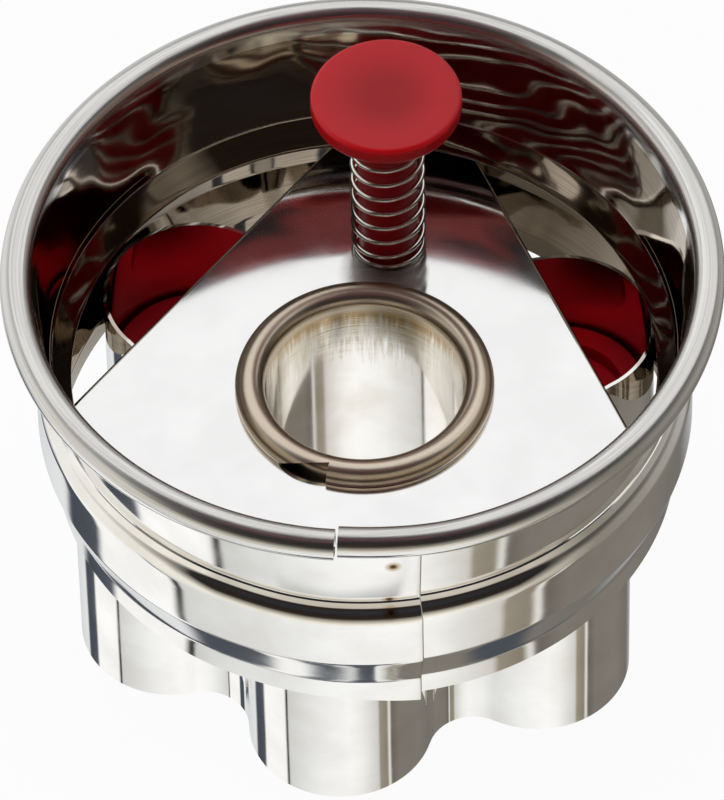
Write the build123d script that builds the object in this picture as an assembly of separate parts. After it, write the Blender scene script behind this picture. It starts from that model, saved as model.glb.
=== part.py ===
from build123d import *
import os
from math import ceil, cos, pi, sin, sqrt

# Plunger cookie cutter: a six-petal cutting strip soldered into a rolled tinplate collar, a bridge
# plate across the collar, a small tube that cuts the window of the biscuit, and a sprung ejector.
# Millimetres. The cutting edges stand on z = 0, the collar's axis is Z, the plunger is at +Y.

# Collar: one strip with a flange, swaged to a hollow bead, folded in above the bead's shoulder to a
# ridge inside, and rolled outwards at the rim
COLLAR_SHEET = 0.3
CUTTING_DEPTH = 14.6
FLANGE_RADIUS = 26.2
FLANGE_HEIGHT = 2.2
BEAD_RADIUS = 27.5
BEAD_UNDERTURN_HEIGHT = 4.0
BEAD_WALL_HEIGHT = 5.35
BEAD_FOOT_BEND = 0.8
SHOULDER_SLOPE = 15.0
SHOULDER_BEND = 1.3
FOLD_SLANT = 36.0
FOLD_LENGTH = 2.9
FOLD_GAP = 0.1
FOLD_MOUTH_BEND = 0.1
WALL_FOOT_INSET = 1.11
WALL_FOOT_RISE = 1.78
WALL_FOOT_BEND = 0.5
UPPER_WALL_HEIGHT = 10.07
RIM_WALL_RADIUS = 27.46
RIM_ROLL_DIAMETER = 2.55
RIM_ROLL_TURN = 290.0

# Lap seam of the collar, as angles about Z from +X, and the slit where the rolled rim's ends meet
LAP_START = -86.6
LAP_END = -72.6
RIM_SLIT = 0.25

# Petal cutter: a strip bent to six petals, which runs up inside the flange to the bridge plate
PETALS = 6
PETAL_RADIUS = 7.8
VALLEY_RADIUS = 3.8
STRIP_SHEET = 0.3

# Bridge plate: a disc with straight sides cut off, which leave windows over every second petal
PLATE_SHEET = 0.5
PLATE_SIDES = 3
PLATE_SIDE_DISTANCE = 18.6
PLATE_EDGE_ROUND = 0.4
PLATE_ABOVE_UNDERTURN = 1.6

# Hole cutter: a tube rolled outwards over the plate until its lip rests there, whose ends part in
# a wedge-shaped slit
TUBE_SHEET = 0.3
TUBE_BORE = 16.8
TUBE_ROLL_DIAMETER = 2.5
TUBE_ROLL_TURN = 195.0
TUBE_SLIT_ANGLE = -100.0
TUBE_SLIT_SPREAD = 24.0

# Plunger: a knob with a stem, pressed into the socket of a petal-shaped ejector tray, a little
# inside the centre of one petal
STEM_INSET = 2.0
STEM_DIAMETER = 5.0
KNOB_DIAMETER = 12.7
KNOB_THICKNESS = 1.75
KNOB_EDGE_ROUND = 0.45
KNOB_DISH_DIAMETER = 9.6
KNOB_DISH_DEPTH = 0.15
EJECTOR_LIFT = 10.8
EJECTOR_THICKNESS = 3.0
EJECTOR_RIM = 1.9
EJECTOR_RECESS = 1.5
EJECTOR_EDGE_ROUND = 0.3
GUIDE_WALL = 1.5
SOCKET_WALL = 1.6
SOCKET_FLOOR = 4.4

# Return spring on the stem, between the plate and the knob; its end turns start flat
SPRING_LENGTH = 17.35
SPRING_WIRE = 0.45
SPRING_ACTIVE_TURNS = 8.0
SPRING_END_TURNS = 1.0
SPRING_START_ANGLE = -150.0
SPANS_PER_TURN = 4

# Clearances
SOLDER_GAP = 0.05
STEM_CLEARANCE = 0.05
EJECTOR_CLEARANCE = 0.3
STOP_CLEARANCE = 0.1
SPRING_CLEARANCE = 0.25
SPRING_SEAT = 0.05

# Levels and radii that follow from the sizes above
bead_foot = CUTTING_DEPTH + FLANGE_HEIGHT
bead_wall_bottom = bead_foot + BEAD_UNDERTURN_HEIGHT
bead_wall_top = bead_wall_bottom + BEAD_WALL_HEIGHT
fold_bend = 0.4 * FOLD_GAP
wall_foot = bead_wall_top + WALL_FOOT_RISE
rim_level = wall_foot + UPPER_WALL_HEIGHT
plate_bottom = bead_wall_bottom + PLATE_ABOVE_UNDERTURN
plate_top = plate_bottom + PLATE_SHEET
plate_radius = BEAD_RADIUS - COLLAR_SHEET - SOLDER_GAP
petal_circle = FLANGE_RADIUS - COLLAR_SHEET - SOLDER_GAP - PETAL_RADIUS
tube_radius = TUBE_BORE / 2 + TUBE_SHEET
tube_roll_radius = TUBE_ROLL_DIAMETER / 2
tube_lip_dip = -sin(TUBE_ROLL_TURN * pi / 180)
tube_lip_drop = max(tube_lip_dip * tube_roll_radius, tube_lip_dip * (tube_roll_radius - TUBE_SHEET))
tube_roll_level = plate_top + SOLDER_GAP + tube_lip_drop
stem_offset = petal_circle - STEM_INSET
stem_radius = STEM_DIAMETER / 2
stem_bottom = EJECTOR_LIFT + SOCKET_FLOOR
socket_top = plate_bottom - STOP_CLEARANCE
knob_bottom = plate_top + SPRING_LENGTH
spring_radius = stem_radius + SPRING_CLEARANCE + SPRING_WIRE / 2

STANDING = (Align.CENTER, Align.CENTER, Align.MIN)


def bent_sheet(corners, bends, thickness, roll_diameter=0.0, roll_turn=0.0):
    """Upright section of a sheet that lies to the right of a chain of corners at radius and height.

    Each bend is the radius on its inside. A roll, if any, carries on from the last corner.
    """
    runs = [(end - start).normalized() for start, end in zip(corners, corners[1:])]
    sides = [Vector(run.Y, -run.X) for run in runs]
    turns_right = [run.dot(side) > 0 for run, side in zip(runs[1:], sides)]
    edges = []
    ends = []
    for distance in (0.0, thickness):
        line = [corners[0] + sides[0] * distance]
        for corner, before, after in zip(corners[1:], sides, sides[1:]):
            line.append(corner + (before + after) * (distance / (1 + before.dot(after))))
        line.append(corners[-1] + sides[-1] * distance)
        on_outside = [right == (distance == 0.0) for right in turns_right]
        radii = [bend + thickness * outside for bend, outside in zip(bends, on_outside)]
        wall = FilletPolyline(*line, radius=radii) if radii else Line(*line)
        edges += wall.edges()
        if roll_turn:
            roll = JernArc(wall @ 1, wall % 1, roll_diameter / 2 - distance, -roll_turn)
            edges += roll.edges()
        ends.append((wall @ 0, roll @ 1 if roll_turn else wall @ 1))
    edges += [Line(ends[0][0], ends[1][0]), Line(ends[0][1], ends[1][1])]
    return Plane.XZ * make_face(edges)


def collar_corners(outward):
    """Corners of the collar's inner face below, in and above its fold, moved outwards."""
    inner = outward - COLLAR_SHEET
    slope = SHOULDER_SLOPE * pi / 180
    slant = FOLD_SLANT * pi / 180
    along_shoulder = Vector(-cos(slope), sin(slope))
    into_fold = Vector(-sin(slant), -cos(slant))
    across_fold = Vector(cos(slant), -sin(slant))
    shoulder = Vector(BEAD_RADIUS + inner, bead_wall_top)
    foot = Vector(BEAD_RADIUS - WALL_FOOT_INSET + inner, wall_foot)
    upper_tip = foot + into_fold * FOLD_LENGTH
    lower_tip = upper_tip + across_fold * (2 * COLLAR_SHEET + FOLD_GAP)
    reach = (lower_tip - shoulder).dot(across_fold) / along_shoulder.dot(across_fold)
    below = [
        Vector(FLANGE_RADIUS + inner, CUTTING_DEPTH),
        Vector(FLANGE_RADIUS + inner, bead_foot),
        Vector(BEAD_RADIUS + inner, bead_wall_bottom),
        shoulder,
    ]
    fold = [shoulder + along_shoulder * reach, lower_tip, upper_tip]
    above = [foot, Vector(RIM_WALL_RADIUS + outward, rim_level)]
    return below, fold, above


def make_collar():
    below, fold, above = collar_corners(0.0)
    below_bends = [BEAD_FOOT_BEND, BEAD_FOOT_BEND, SHOULDER_BEND]
    bends = below_bends + [FOLD_MOUTH_BEND, fold_bend, fold_bend, WALL_FOOT_BEND]
    section = bent_sheet(below + fold + above, bends, COLLAR_SHEET, RIM_ROLL_DIAMETER, RIM_ROLL_TURN)
    collar = revolve(section, Axis.Z)

    # The overlapping end lies on the bead and on the wall, and stops short of the fold and the rim
    fused = COLLAR_SHEET / 4
    below, fold, above = collar_corners(COLLAR_SHEET - fused)
    shoulder_end = below[-1] * 0.1 + fold[0] * 0.9
    rim_room = Cylinder(RIM_WALL_RADIUS + RIM_ROLL_DIAMETER, 2 * RIM_ROLL_DIAMETER, align=STANDING)
    rim_room = Pos(0, 0, rim_level - RIM_ROLL_DIAMETER) * rim_room
    for corners, bends in ((below + [shoulder_end], below_bends), (above, [])):
        lap = revolve(bent_sheet(corners, bends, COLLAR_SHEET + fused), Axis.Z, LAP_END - LAP_START)
        collar += Rot(0, 0, LAP_START) * (lap - rim_room)

    slit_corner = (Align.MIN, Align.MAX, Align.CENTER)
    slit = Box(RIM_ROLL_DIAMETER, RIM_SLIT, 2 * RIM_ROLL_DIAMETER, align=slit_corner)
    return collar - Rot(0, 0, LAP_START) * Pos(RIM_WALL_RADIUS + COLLAR_SHEET, 0, rim_level) * slit


def polar(radius, angle):
    return Vector(radius * cos(angle), radius * sin(angle))


def petal_outline(inset):
    """Face inside the petal outline, drawn in by an inset: all arcs keep their centres."""
    half = pi / PETALS
    reach = PETAL_RADIUS + VALLEY_RADIUS
    valley_circle = petal_circle * cos(half) + sqrt(reach**2 - (petal_circle * sin(half)) ** 2)
    edges = []
    for petal in range(PETALS):
        middle = pi / 2 + 2 * half * petal
        centre = polar(petal_circle, middle)
        valleys = [polar(valley_circle, middle + side * half) for side in (-1, 1)]
        joints = [centre + (valley - centre) * ((PETAL_RADIUS - inset) / reach) for valley in valleys]
        next_centre = polar(petal_circle, middle + 2 * half)
        next_joint = next_centre + (valleys[1] - next_centre) * ((PETAL_RADIUS - inset) / reach)
        tip = polar(petal_circle + PETAL_RADIUS - inset, middle)
        valley_floor = polar(valley_circle - VALLEY_RADIUS - inset, middle + half)
        edges += ThreePointArc(joints[0], tip, joints[1]).edges()
        edges += ThreePointArc(joints[1], valley_floor, next_joint).edges()
    return make_face(edges)


def make_petal_cutter():
    return extrude(petal_outline(0.0) - petal_outline(STRIP_SHEET), plate_bottom)


def make_bridge_plate():
    straight_sides = RegularPolygon(PLATE_SIDE_DISTANCE, PLATE_SIDES, major_radius=False, rotation=90)
    outline = Circle(plate_radius) & straight_sides
    outline -= Circle(tube_radius + SOLDER_GAP)
    outline -= Pos(0, stem_offset) * Circle(stem_radius + STEM_CLEARANCE)
    plate = Pos(0, 0, plate_bottom) * extrude(outline, PLATE_SHEET)
    top_sides = plate.edges().filter_by(GeomType.LINE).group_by(Axis.Z)[-1]
    return fillet(top_sides, PLATE_EDGE_ROUND)


def make_hole_cutter():
    wall = [Vector(TUBE_BORE / 2, 0.0), Vector(TUBE_BORE / 2, tube_roll_level)]
    tube = revolve(bent_sheet(wall, [], TUBE_SHEET, TUBE_ROLL_DIAMETER, TUBE_ROLL_TURN), Axis.Z)
    reach = tube_radius + TUBE_ROLL_DIAMETER
    square_end = TUBE_SLIT_ANGLE * pi / 180
    slant_end = (TUBE_SLIT_ANGLE - TUBE_SLIT_SPREAD) * pi / 180
    corners = [polar(tube_radius, square_end), polar(reach, square_end), polar(reach, slant_end)]
    wedge = make_face(Polyline(*corners, close=True))
    return tube - extrude(Pos(0, 0, plate_top) * wedge, 2 * TUBE_ROLL_DIAMETER)


def make_ejector():
    inset = STRIP_SHEET + EJECTOR_CLEARANCE
    hole_radius = tube_radius + EJECTOR_CLEARANCE
    tray = extrude(petal_outline(inset), EJECTOR_THICKNESS)
    tray = fillet(tray.faces().sort_by(Axis.Z)[-1].edges(), EJECTOR_EDGE_ROUND)
    recess = extrude(petal_outline(inset + EJECTOR_RIM) - Circle(hole_radius + GUIDE_WALL), EJECTOR_RECESS)
    tray -= Pos(0, 0, EJECTOR_THICKNESS - EJECTOR_RECESS) * recess
    tray = Pos(0, 0, EJECTOR_LIFT) * (tray - extrude(Circle(hole_radius), EJECTOR_THICKNESS))
    tray_floor = EJECTOR_LIFT + EJECTOR_THICKNESS - EJECTOR_RECESS
    socket = Cylinder(stem_radius + SOCKET_WALL, socket_top - tray_floor, align=STANDING)
    bore = Cylinder(stem_radius, socket_top - stem_bottom, align=STANDING)
    return tray + Pos(0, stem_offset, tray_floor) * socket - Pos(0, stem_offset, stem_bottom) * bore


def make_push_knob():
    knob = Cylinder(KNOB_DIAMETER / 2, KNOB_THICKNESS, align=STANDING)
    knob = fillet(knob.edges(), KNOB_EDGE_ROUND)
    dish_reach = KNOB_DISH_DIAMETER / 2
    dish_radius = (dish_reach**2 + KNOB_DISH_DEPTH**2) / (2 * KNOB_DISH_DEPTH)
    knob -= Pos(0, 0, KNOB_THICKNESS - KNOB_DISH_DEPTH + dish_radius) * Sphere(dish_radius)
    stem = Cylinder(stem_radius, knob_bottom - stem_bottom, align=STANDING)
    return Pos(0, stem_offset, knob_bottom) * knob + Pos(0, stem_offset, stem_bottom) * stem


def spring_point(turn):
    """Place and direction of the spring's wire after a number of turns from its foot."""
    turns = SPRING_ACTIVE_TURNS + 2 * SPRING_END_TURNS
    rise = SPRING_LENGTH - 2 * SPRING_SEAT - SPRING_WIRE
    pitch = rise / (SPRING_ACTIVE_TURNS + SPRING_END_TURNS)
    from_end = min(turn, turns - turn)
    in_end_turn = max(0.0, SPRING_END_TURNS - from_end)
    height = pitch * (from_end - SPRING_END_TURNS / 2 + in_end_turn**2 / (2 * SPRING_END_TURNS))
    if turn > turns / 2:
        height = rise - height
    slope = pitch * (1 - in_end_turn / SPRING_END_TURNS)
    angle = SPRING_START_ANGLE * pi / 180 + 2 * pi * turn
    foot = Vector(0, stem_offset, plate_top + SPRING_SEAT + SPRING_WIRE / 2 + height)
    along = polar(2 * pi * spring_radius, angle + pi / 2) + Vector(0, 0, slope)
    return foot + polar(spring_radius, angle), along.normalized()


def biarc(start, start_along, end, end_along):
    """Two arcs that leave one point and reach another, each in its own direction."""
    gap = end - start
    both = start_along + end_along
    spread = 2 * (1 - start_along.dot(end_along))
    reach = (sqrt(gap.dot(both) ** 2 + spread * gap.dot(gap)) - gap.dot(both)) / spread
    joint = (start + end + (start_along - end_along) * reach) * 0.5
    joint_along = (gap - both * reach).normalized()
    return [TangentArc(start, joint, tangent=start_along), TangentArc(joint, end, tangent=joint_along)]


def spring_gap():
    """Least clear distance between neighbouring turns of the spring."""
    turns = SPRING_ACTIVE_TURNS + 2 * SPRING_END_TURNS
    steps_per_turn = 48
    points = [spring_point(step / steps_per_turn)[0] for step in range(ceil(turns * steps_per_turn))]
    neighbours = range(steps_per_turn // 2, steps_per_turn * 3 // 2)
    gaps = [(a - b).length for skip in neighbours for a, b in zip(points, points[skip:])]
    return min(gaps) - SPRING_WIRE


def make_return_spring():
    turns = SPRING_ACTIVE_TURNS + 2 * SPRING_END_TURNS
    spans = ceil(turns * SPANS_PER_TURN)
    places = [spring_point(turns * span / spans) for span in range(spans + 1)]
    (foot, foot_along), (head, head_along) = places[0], places[-1]
    wire = [Line(foot - foot_along * SPRING_WIRE, foot)]
    for (start, start_along), (end, end_along) in zip(places, places[1:]):
        wire += biarc(start, start_along, end, end_along)
    wire.append(Line(head, head + head_along * SPRING_WIRE))
    section = Plane(wire[0] @ 0, z_dir=foot_along) * Circle(SPRING_WIRE / 2)
    return sweep(section, Wire([edge for piece in wire for edge in piece.edges()]))


pieces = {
    "collar": make_collar,
    "petal_cutter": make_petal_cutter,
    "bridge_plate": make_bridge_plate,
    "hole_cutter": make_hole_cutter,
    "ejector": make_ejector,
    "push_knob": make_push_knob,
    "return_spring": make_return_spring,
}

os.makedirs("parts", exist_ok=True)
for name, make in pieces.items():
    export_step(make(), f"parts/{name}.step")
print(f"least gap between the spring's turns: {spring_gap():.2f} mm")
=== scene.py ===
# %% [markdown]
# # A plunger cookie cutter
# A flower-shaped cutter for sandwich biscuits: polished tinplate, bent, rolled and soldered, with a red
# plastic plunger and a steel spring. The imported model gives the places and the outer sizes, and each
# step here makes one piece or one finish. Lengths are in millimetres, and MM turns them to metres.

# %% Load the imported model
from math import atan2, cos, pi, radians, sin, sqrt, tan

import bmesh
import bpy
from mathutils import Matrix, Vector


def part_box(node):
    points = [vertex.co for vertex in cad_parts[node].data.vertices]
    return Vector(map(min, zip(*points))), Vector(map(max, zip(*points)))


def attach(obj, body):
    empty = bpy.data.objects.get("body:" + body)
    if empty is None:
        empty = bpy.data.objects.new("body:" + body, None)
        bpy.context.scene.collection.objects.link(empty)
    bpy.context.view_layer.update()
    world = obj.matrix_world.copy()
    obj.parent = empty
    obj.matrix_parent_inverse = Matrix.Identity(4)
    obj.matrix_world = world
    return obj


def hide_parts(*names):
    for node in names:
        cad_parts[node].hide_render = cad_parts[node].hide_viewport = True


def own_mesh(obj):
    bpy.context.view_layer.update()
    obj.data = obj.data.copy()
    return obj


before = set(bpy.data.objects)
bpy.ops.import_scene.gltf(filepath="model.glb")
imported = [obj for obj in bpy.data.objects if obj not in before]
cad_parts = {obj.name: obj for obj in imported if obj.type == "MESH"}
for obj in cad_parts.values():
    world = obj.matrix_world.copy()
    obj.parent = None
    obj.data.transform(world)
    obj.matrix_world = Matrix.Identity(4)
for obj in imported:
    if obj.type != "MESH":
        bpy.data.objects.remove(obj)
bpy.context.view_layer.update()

MM = 0.001

# %% [markdown]
# ## Helpers for finishes
# A finish is a small tree of shader nodes. Colours are written as sRGB hex values, as in a paint
# program, and Blender mixes light in linear values, so one function converts them. Another adds a node
# with its settings and links, which keeps the trees short enough to read.

# %% Helpers for finishes


def linear(hex_colour):
    """Linear RGBA of an sRGB hex colour, by the curve of the sRGB standard."""
    parts = [int(hex_colour[i : i + 2], 16) / 255 for i in (1, 3, 5)]
    return [p / 12.92 if p <= 0.04045 else ((p + 0.055) / 1.055) ** 2.4 for p in parts] + [1.0]


def ramp_stops(stops, low, high):
    """Stops of a colour ramp between two limits, each with a hex colour or a plain number."""
    shares = [(place - low) / (high - low) for place, _ in stops]
    colours = [linear(v) if isinstance(v, str) else [v] * 3 + [1.0] for _, v in stops]
    return list(zip(shares, colours))


def add_node(tree, kind, settings=None, links=None):
    """Adds a shader node with its properties, ramp stops and input values, and links its inputs."""
    node = tree.nodes.new(kind)
    for name, value in (settings or {}).items():
        if name == "stops":
            elements = node.color_ramp.elements
            for place, colour in value[1:-1]:
                elements.new(place).color = colour
            for end in (0, -1):
                elements[end].position = value[end][0]
                elements[end].color = value[end][1]
        elif isinstance(name, str) and hasattr(node, name):
            setattr(node, name, value)
        else:
            node.inputs[name].default_value = value
    for name, output in (links or {}).items():
        tree.links.new(output, node.inputs[name])
    return node


def new_material(name):
    """Empty material with its tree and its output node."""
    material = bpy.data.materials.new(name)
    material.use_nodes = True
    material.node_tree.nodes.clear()
    output = material.node_tree.nodes.new("ShaderNodeOutputMaterial")
    return material, material.node_tree, output


print("the middle grey #808080 is", round(linear("#808080")[0], 3), "in linear light")

# %% [markdown]
# ## Zones of a finish
# Tinplate doesn't look the same all over: the rim is rubbed dull, the tube's bore is tarnished and solder
# has run down in it, and the collar's inside is tinted darker brown as painted shade. A painted mask would
# need a UV map and an image. A zone here is a function instead, which adds the nodes that work out, from a
# point's own place, how far the point is inside.

# %% Zones of a finish
ZONE_BLEND = 0.4
SPOT_CORE = 0.4
NOISE_LOW = 0.3
NOISE_HIGH = 0.7
STREAK_WIDTH = 0.25
STREAK_LENGTH = 3.0


def above(level):
    """Zone above a height."""

    def share(tree, at):
        limits = {"From Min": (level - ZONE_BLEND) * MM, "From Max": (level + ZONE_BLEND) * MM}
        return add_node(tree, "ShaderNodeMapRange", limits, {"Value": at["height"]}).outputs["Result"]

    return share


def inside(section):
    """Zone within a section that is given as heights and radii."""

    def share(tree, at):
        low, high = section[0][0], section[-1][0]
        limits = {"From Min": low * MM, "From Max": high * MM}
        rise = add_node(tree, "ShaderNodeMapRange", limits, {"Value": at["height"]}).outputs["Result"]
        stops = ramp_stops([(height, radius * MM) for height, radius in section], low, high)
        limit = add_node(tree, "ShaderNodeValToRGB", {"stops": stops}, {"Fac": rise}).outputs["Color"]
        compared = {0: at["radius"], 1: limit}
        return add_node(tree, "ShaderNodeMath", {"operation": "LESS_THAN"}, compared).outputs[0]

    return share


def near(spot, reach):
    """Zone round a point, full in its core and fading to its reach."""

    def share(tree, at):
        gap = {"operation": "DISTANCE", 1: [side * MM for side in spot]}
        away = add_node(tree, "ShaderNodeVectorMath", gap, {0: at["place"]}).outputs["Value"]
        limits = {"From Min": reach * MM, "From Max": SPOT_CORE * reach * MM}
        return add_node(tree, "ShaderNodeMapRange", limits, {"Value": away}).outputs["Result"]

    return share


def stretched_noise(tree, place, width, length):
    """Noise whose details have a width on the first two axes and a length on the third."""
    scale = (1 / (width * MM), 1 / (width * MM), 1 / (length * MM))
    drawn_out = add_node(tree, "ShaderNodeMapping", {"Scale": scale}, {"Vector": place})
    size = {"Scale": 1.0, "Detail": 3.0}
    noise = add_node(tree, "ShaderNodeTexNoise", size, {"Vector": drawn_out.outputs["Vector"]})
    return noise.outputs["Fac"]


def ragged(level, run_down, spot, reach):
    """Zone above a height and round a point, with a lower edge that has run down in streaks."""

    def share(tree, at):
        streaks = stretched_noise(tree, at["place"], STREAK_WIDTH, STREAK_LENGTH)
        run = {"From Min": NOISE_LOW, "From Max": NOISE_HIGH}
        run |= {"To Min": -run_down * MM, "To Max": run_down * MM}
        shift = add_node(tree, "ShaderNodeMapRange", run, {"Value": streaks}).outputs["Result"]
        added = {0: at["height"], 1: shift}
        reached = add_node(tree, "ShaderNodeMath", {"operation": "ADD"}, added).outputs[0]
        limits = {"From Min": (level - run_down) * MM, "From Max": (level + run_down) * MM}
        high = add_node(tree, "ShaderNodeMapRange", limits, {"Value": reached}).outputs["Result"]
        both = {0: high, 1: near(spot, reach)(tree, at)}
        return add_node(tree, "ShaderNodeMath", {"operation": "MULTIPLY"}, both).outputs[0]

    return share


print("zones fade over", 2 * ZONE_BLEND, "mm, and streaks are", STREAK_LENGTH, "mm long")

# %% [markdown]
# ## Tinplate
# The sheet is thin steel with a bright tin face, rolled and polished. It is a mirror that isn't quite
# flat: rolling and swaging leave shallow waves some millimetres long, deeper at the collar's back, and
# they bend what the sheet reflects. Handling leaves hairlines that run round the part. A mirror has
# little colour of its own, so the finish is a metal whose tint, roughness and bump vary a little, and a
# zone adds a tint and a roughness of its own.

# %% Tinplate
WAVE_LENGTH = 9.0
WAVES_DEEPEN = 20.0
CLOUD_LENGTH = 5.0
# Real hairlines are finer. These are about a pixel wide, as coarse as they need to be to show.
HAIRLINE_WIDTH = 0.08
HAIRLINE_LENGTH = 6.0
HAIRLINE_DEPTH = 0.0004
DULL_BELOW = 0.35
BRIGHT_ABOVE = 0.65
SMOOTHEST = 0.7
ROUGHEST = 1.4


def surface_place(tree):
    """Where a point is on the object: its place, its axes and its distance from the upright axis."""
    place = add_node(tree, "ShaderNodeTexCoord").outputs["Object"]
    axes = add_node(tree, "ShaderNodeSeparateXYZ", None, {"Vector": place}).outputs
    flat = {"operation": "MULTIPLY", 1: (1.0, 1.0, 0.0)}
    level_place = add_node(tree, "ShaderNodeVectorMath", flat, {0: place}).outputs[0]
    radius = add_node(tree, "ShaderNodeVectorMath", {"operation": "LENGTH"}, {0: level_place})
    at = {"place": place, "sideways": axes["X"], "back": axes["Y"], "height": axes["Z"]}
    return at | {"radius": radius.outputs["Value"]}


def two_tints(tree, dark, light, share):
    """Two tints that follow a noise, each of them flat at its end of the noise's range."""
    stops = ((DULL_BELOW, linear(dark)), (BRIGHT_ABOVE, linear(light)))
    return add_node(tree, "ShaderNodeValToRGB", {"stops": stops}, {"Fac": share}).outputs["Color"]


def uneven_normal(tree, at, hairlines, wave_depths):
    """Normal of a sheet with hairlines, and with waves of one depth at the front and one at the back."""
    size = {"Scale": 1 / (WAVE_LENGTH * MM), "Detail": 1.0}
    waves = add_node(tree, "ShaderNodeTexNoise", size, {"Vector": at["place"]}).outputs["Fac"]
    front_depth, back_depth = wave_depths
    deepen = {"From Min": 0.0, "From Max": WAVES_DEEPEN * MM}
    deepen |= {"To Min": front_depth * MM, "To Max": back_depth * MM}
    depth = add_node(tree, "ShaderNodeMapRange", deepen, {"Value": at["back"]}).outputs["Result"]
    wavy = add_node(tree, "ShaderNodeBump", {"Strength": 1.0}, {"Height": waves, "Distance": depth})
    scratched = add_node(
        tree,
        "ShaderNodeBump",
        {"Strength": 1.0, "Distance": HAIRLINE_DEPTH * MM},
        {"Height": hairlines, "Normal": wavy.outputs["Normal"]},
    )
    return scratched.outputs["Normal"]


def make_tinplate(name, bright, dull, roughness, wave_depths, zones=()):
    """Tin finish, with zones that have two tints and a roughness of their own."""
    material, tree, output = new_material(name)
    at = surface_place(tree)
    size = {"Scale": 1 / (CLOUD_LENGTH * MM), "Detail": 4.0}
    clouds = add_node(tree, "ShaderNodeTexNoise", size, {"Vector": at["place"]}).outputs["Fac"]
    turned = {"X": at["radius"], "Y": at["height"], "Z": at["sideways"]}
    round_place = add_node(tree, "ShaderNodeCombineXYZ", None, turned).outputs["Vector"]
    hairlines = stretched_noise(tree, round_place, HAIRLINE_WIDTH, HAIRLINE_LENGTH)
    spread = {"From Min": NOISE_LOW, "From Max": NOISE_HIGH}
    spread |= {"To Min": SMOOTHEST * roughness, "To Max": ROUGHEST * roughness}
    rough = add_node(tree, "ShaderNodeMapRange", spread, {"Value": clouds}).outputs["Result"]
    tint = two_tints(tree, dull, bright, clouds)
    for zone, zone_dark, zone_light, zone_roughness in zones:
        share = zone(tree, at)
        mixed = {0: share, 6: tint, 7: two_tints(tree, zone_dark, zone_light, hairlines)}
        tint = add_node(tree, "ShaderNodeMix", {"data_type": "RGBA"}, mixed).outputs[2]
        rough = add_node(tree, "ShaderNodeMix", {3: zone_roughness}, {0: share, 2: rough}).outputs[0]
    normal = uneven_normal(tree, at, hairlines, wave_depths)
    shader = add_node(
        tree,
        "ShaderNodeBsdfPrincipled",
        {"Metallic": 1.0},
        {"Base Color": tint, "Roughness": rough, "Normal": normal},
    )
    tree.links.new(shader.outputs["BSDF"], output.inputs["Surface"])
    return material


print("waves:", WAVE_LENGTH, "mm long, clouds:", CLOUD_LENGTH, "mm, hairlines:", HAIRLINE_WIDTH, "mm wide")

# %% [markdown]
# ## Sheets and wire
# The metal pieces are the same tinplate, worked in different ways, and a bright steel wire. Each way
# leaves its own marks, so each gets its own finish and its own zones.

# %% Sheets and wire
RUBBED_FROM = 37.9
COLLAR_MIDDLE = (
    (14.6, 26.05),
    (16.8, 26.05),
    (20.8, 27.35),
    (24.8, 27.35),
    (25.6, 26.3),
    (27.9, 26.3),
    (28.0, 0.0),
)
COLLAR_WALL = ((28.0, 0.0), (28.1, 26.3), (36.8, 27.45), (37.0, 0.0))
SPOT_WELDS = ((5.92, -26.7, 33.0), (5.61, -26.62, 26.88))
WELD_HALO = 0.8
WELD_PIT = 0.4
BORE_BACK = (-1.0, 8.4, 21.0)
SOLDER_FROM = 18.8
SOLDER_RUN = 2.4
SOLDER_REACH = 10.0
TARNISH_FROM = 21.8
TARNISH_RUN = 0.8
TARNISH_REACH = 16.0
ROLL_FROM = 22.8
# Place and reach of a painted shade on the plate, in front of the spring's foot.
SPRING_FRONT = (0.0, 12.6, 22.9)
SPRING_SHADE_REACH = 4.0

collar_zones = [
    (above(RUBBED_FROM), "#C4C2BE", "#E4E3E0", 0.28),
    # The collar's inside is tinted darker brown: painted shade of the dim inside that the sheet mirrors.
    (inside(COLLAR_MIDDLE), "#8E8276", "#A69B8C", 0.05),
    (inside(COLLAR_WALL), "#AFA08E", "#C4B8A8", 0.05),
]
for weld in SPOT_WELDS:
    collar_zones += [
        (near(weld, WELD_HALO), "#C2A173", "#DCC6A2", 0.2),
        (near(weld, WELD_PIT), "#453327", "#6A5040", 0.45),
    ]
tube_zones = [
    (ragged(SOLDER_FROM, SOLDER_RUN, BORE_BACK, SOLDER_REACH), "#B4A88E", "#F0EADC", 0.22),
    (ragged(TARNISH_FROM, TARNISH_RUN, BORE_BACK, TARNISH_REACH), "#9C7F52", "#C9AE7E", 0.2),
    (above(ROLL_FROM), "#CDBEA9", "#D8CCBA", 0.3),
]
plate_shade_zones = [(near(SPRING_FRONT, SPRING_SHADE_REACH), "#9A9996", "#BDBCB9", 0.4)]
# Swaged sheet: bright outside, wavy at the back, darker brown inside as painted shade, and dull on the
# rubbed rim.
collar_tin = make_tinplate("swaged_tinplate", "#F4F3F0", "#E9E7E3", 0.06, (0.03, 0.42), collar_zones)
# Bent strip: a clear mirror with faint waves, on which the round petals show long upright stripes.
strip_tin = make_tinplate("polished_tinplate", "#F4F3F0", "#E9E7E3", 0.06, (0.02, 0.02))
# Flat plate: a satin mirror with soft reflections, and painted shade in front of the spring, a darker and
# duller patch.
plate_tin = make_tinplate("satin_tinplate", "#F2F2F1", "#ECECEB", 0.09, (0.008, 0.008), plate_shade_zones)
# Rolled tube: a soft mirror, with streaks of solder at the back of its bore and a tan, dull roll.
tube_tin = make_tinplate("rolled_tinplate", "#F5F3EF", "#E6E1D8", 0.1, (0.006, 0.006), tube_zones)
# Drawn wire: smooth and bright, so that each turn of the spring has one thin highlight.
spring_steel = make_tinplate("bright_drawn_spring_steel", "#EFECE7", "#DDD9D2", 0.12, (0.0, 0.0))
print("metal finishes:", [m.name for m in (collar_tin, strip_tin, plate_tin, tube_tin, spring_steel)])

# %% [markdown]
# ## Red plastic
# The plunger is two mouldings of polystyrene, coloured through, with the fine even grain that a
# spark-eroded mould leaves. Some light goes in and comes out redder, so the shader scatters light under
# the surface. That keeps the shaded sides warm, which plain paint wouldn't do.

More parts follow.
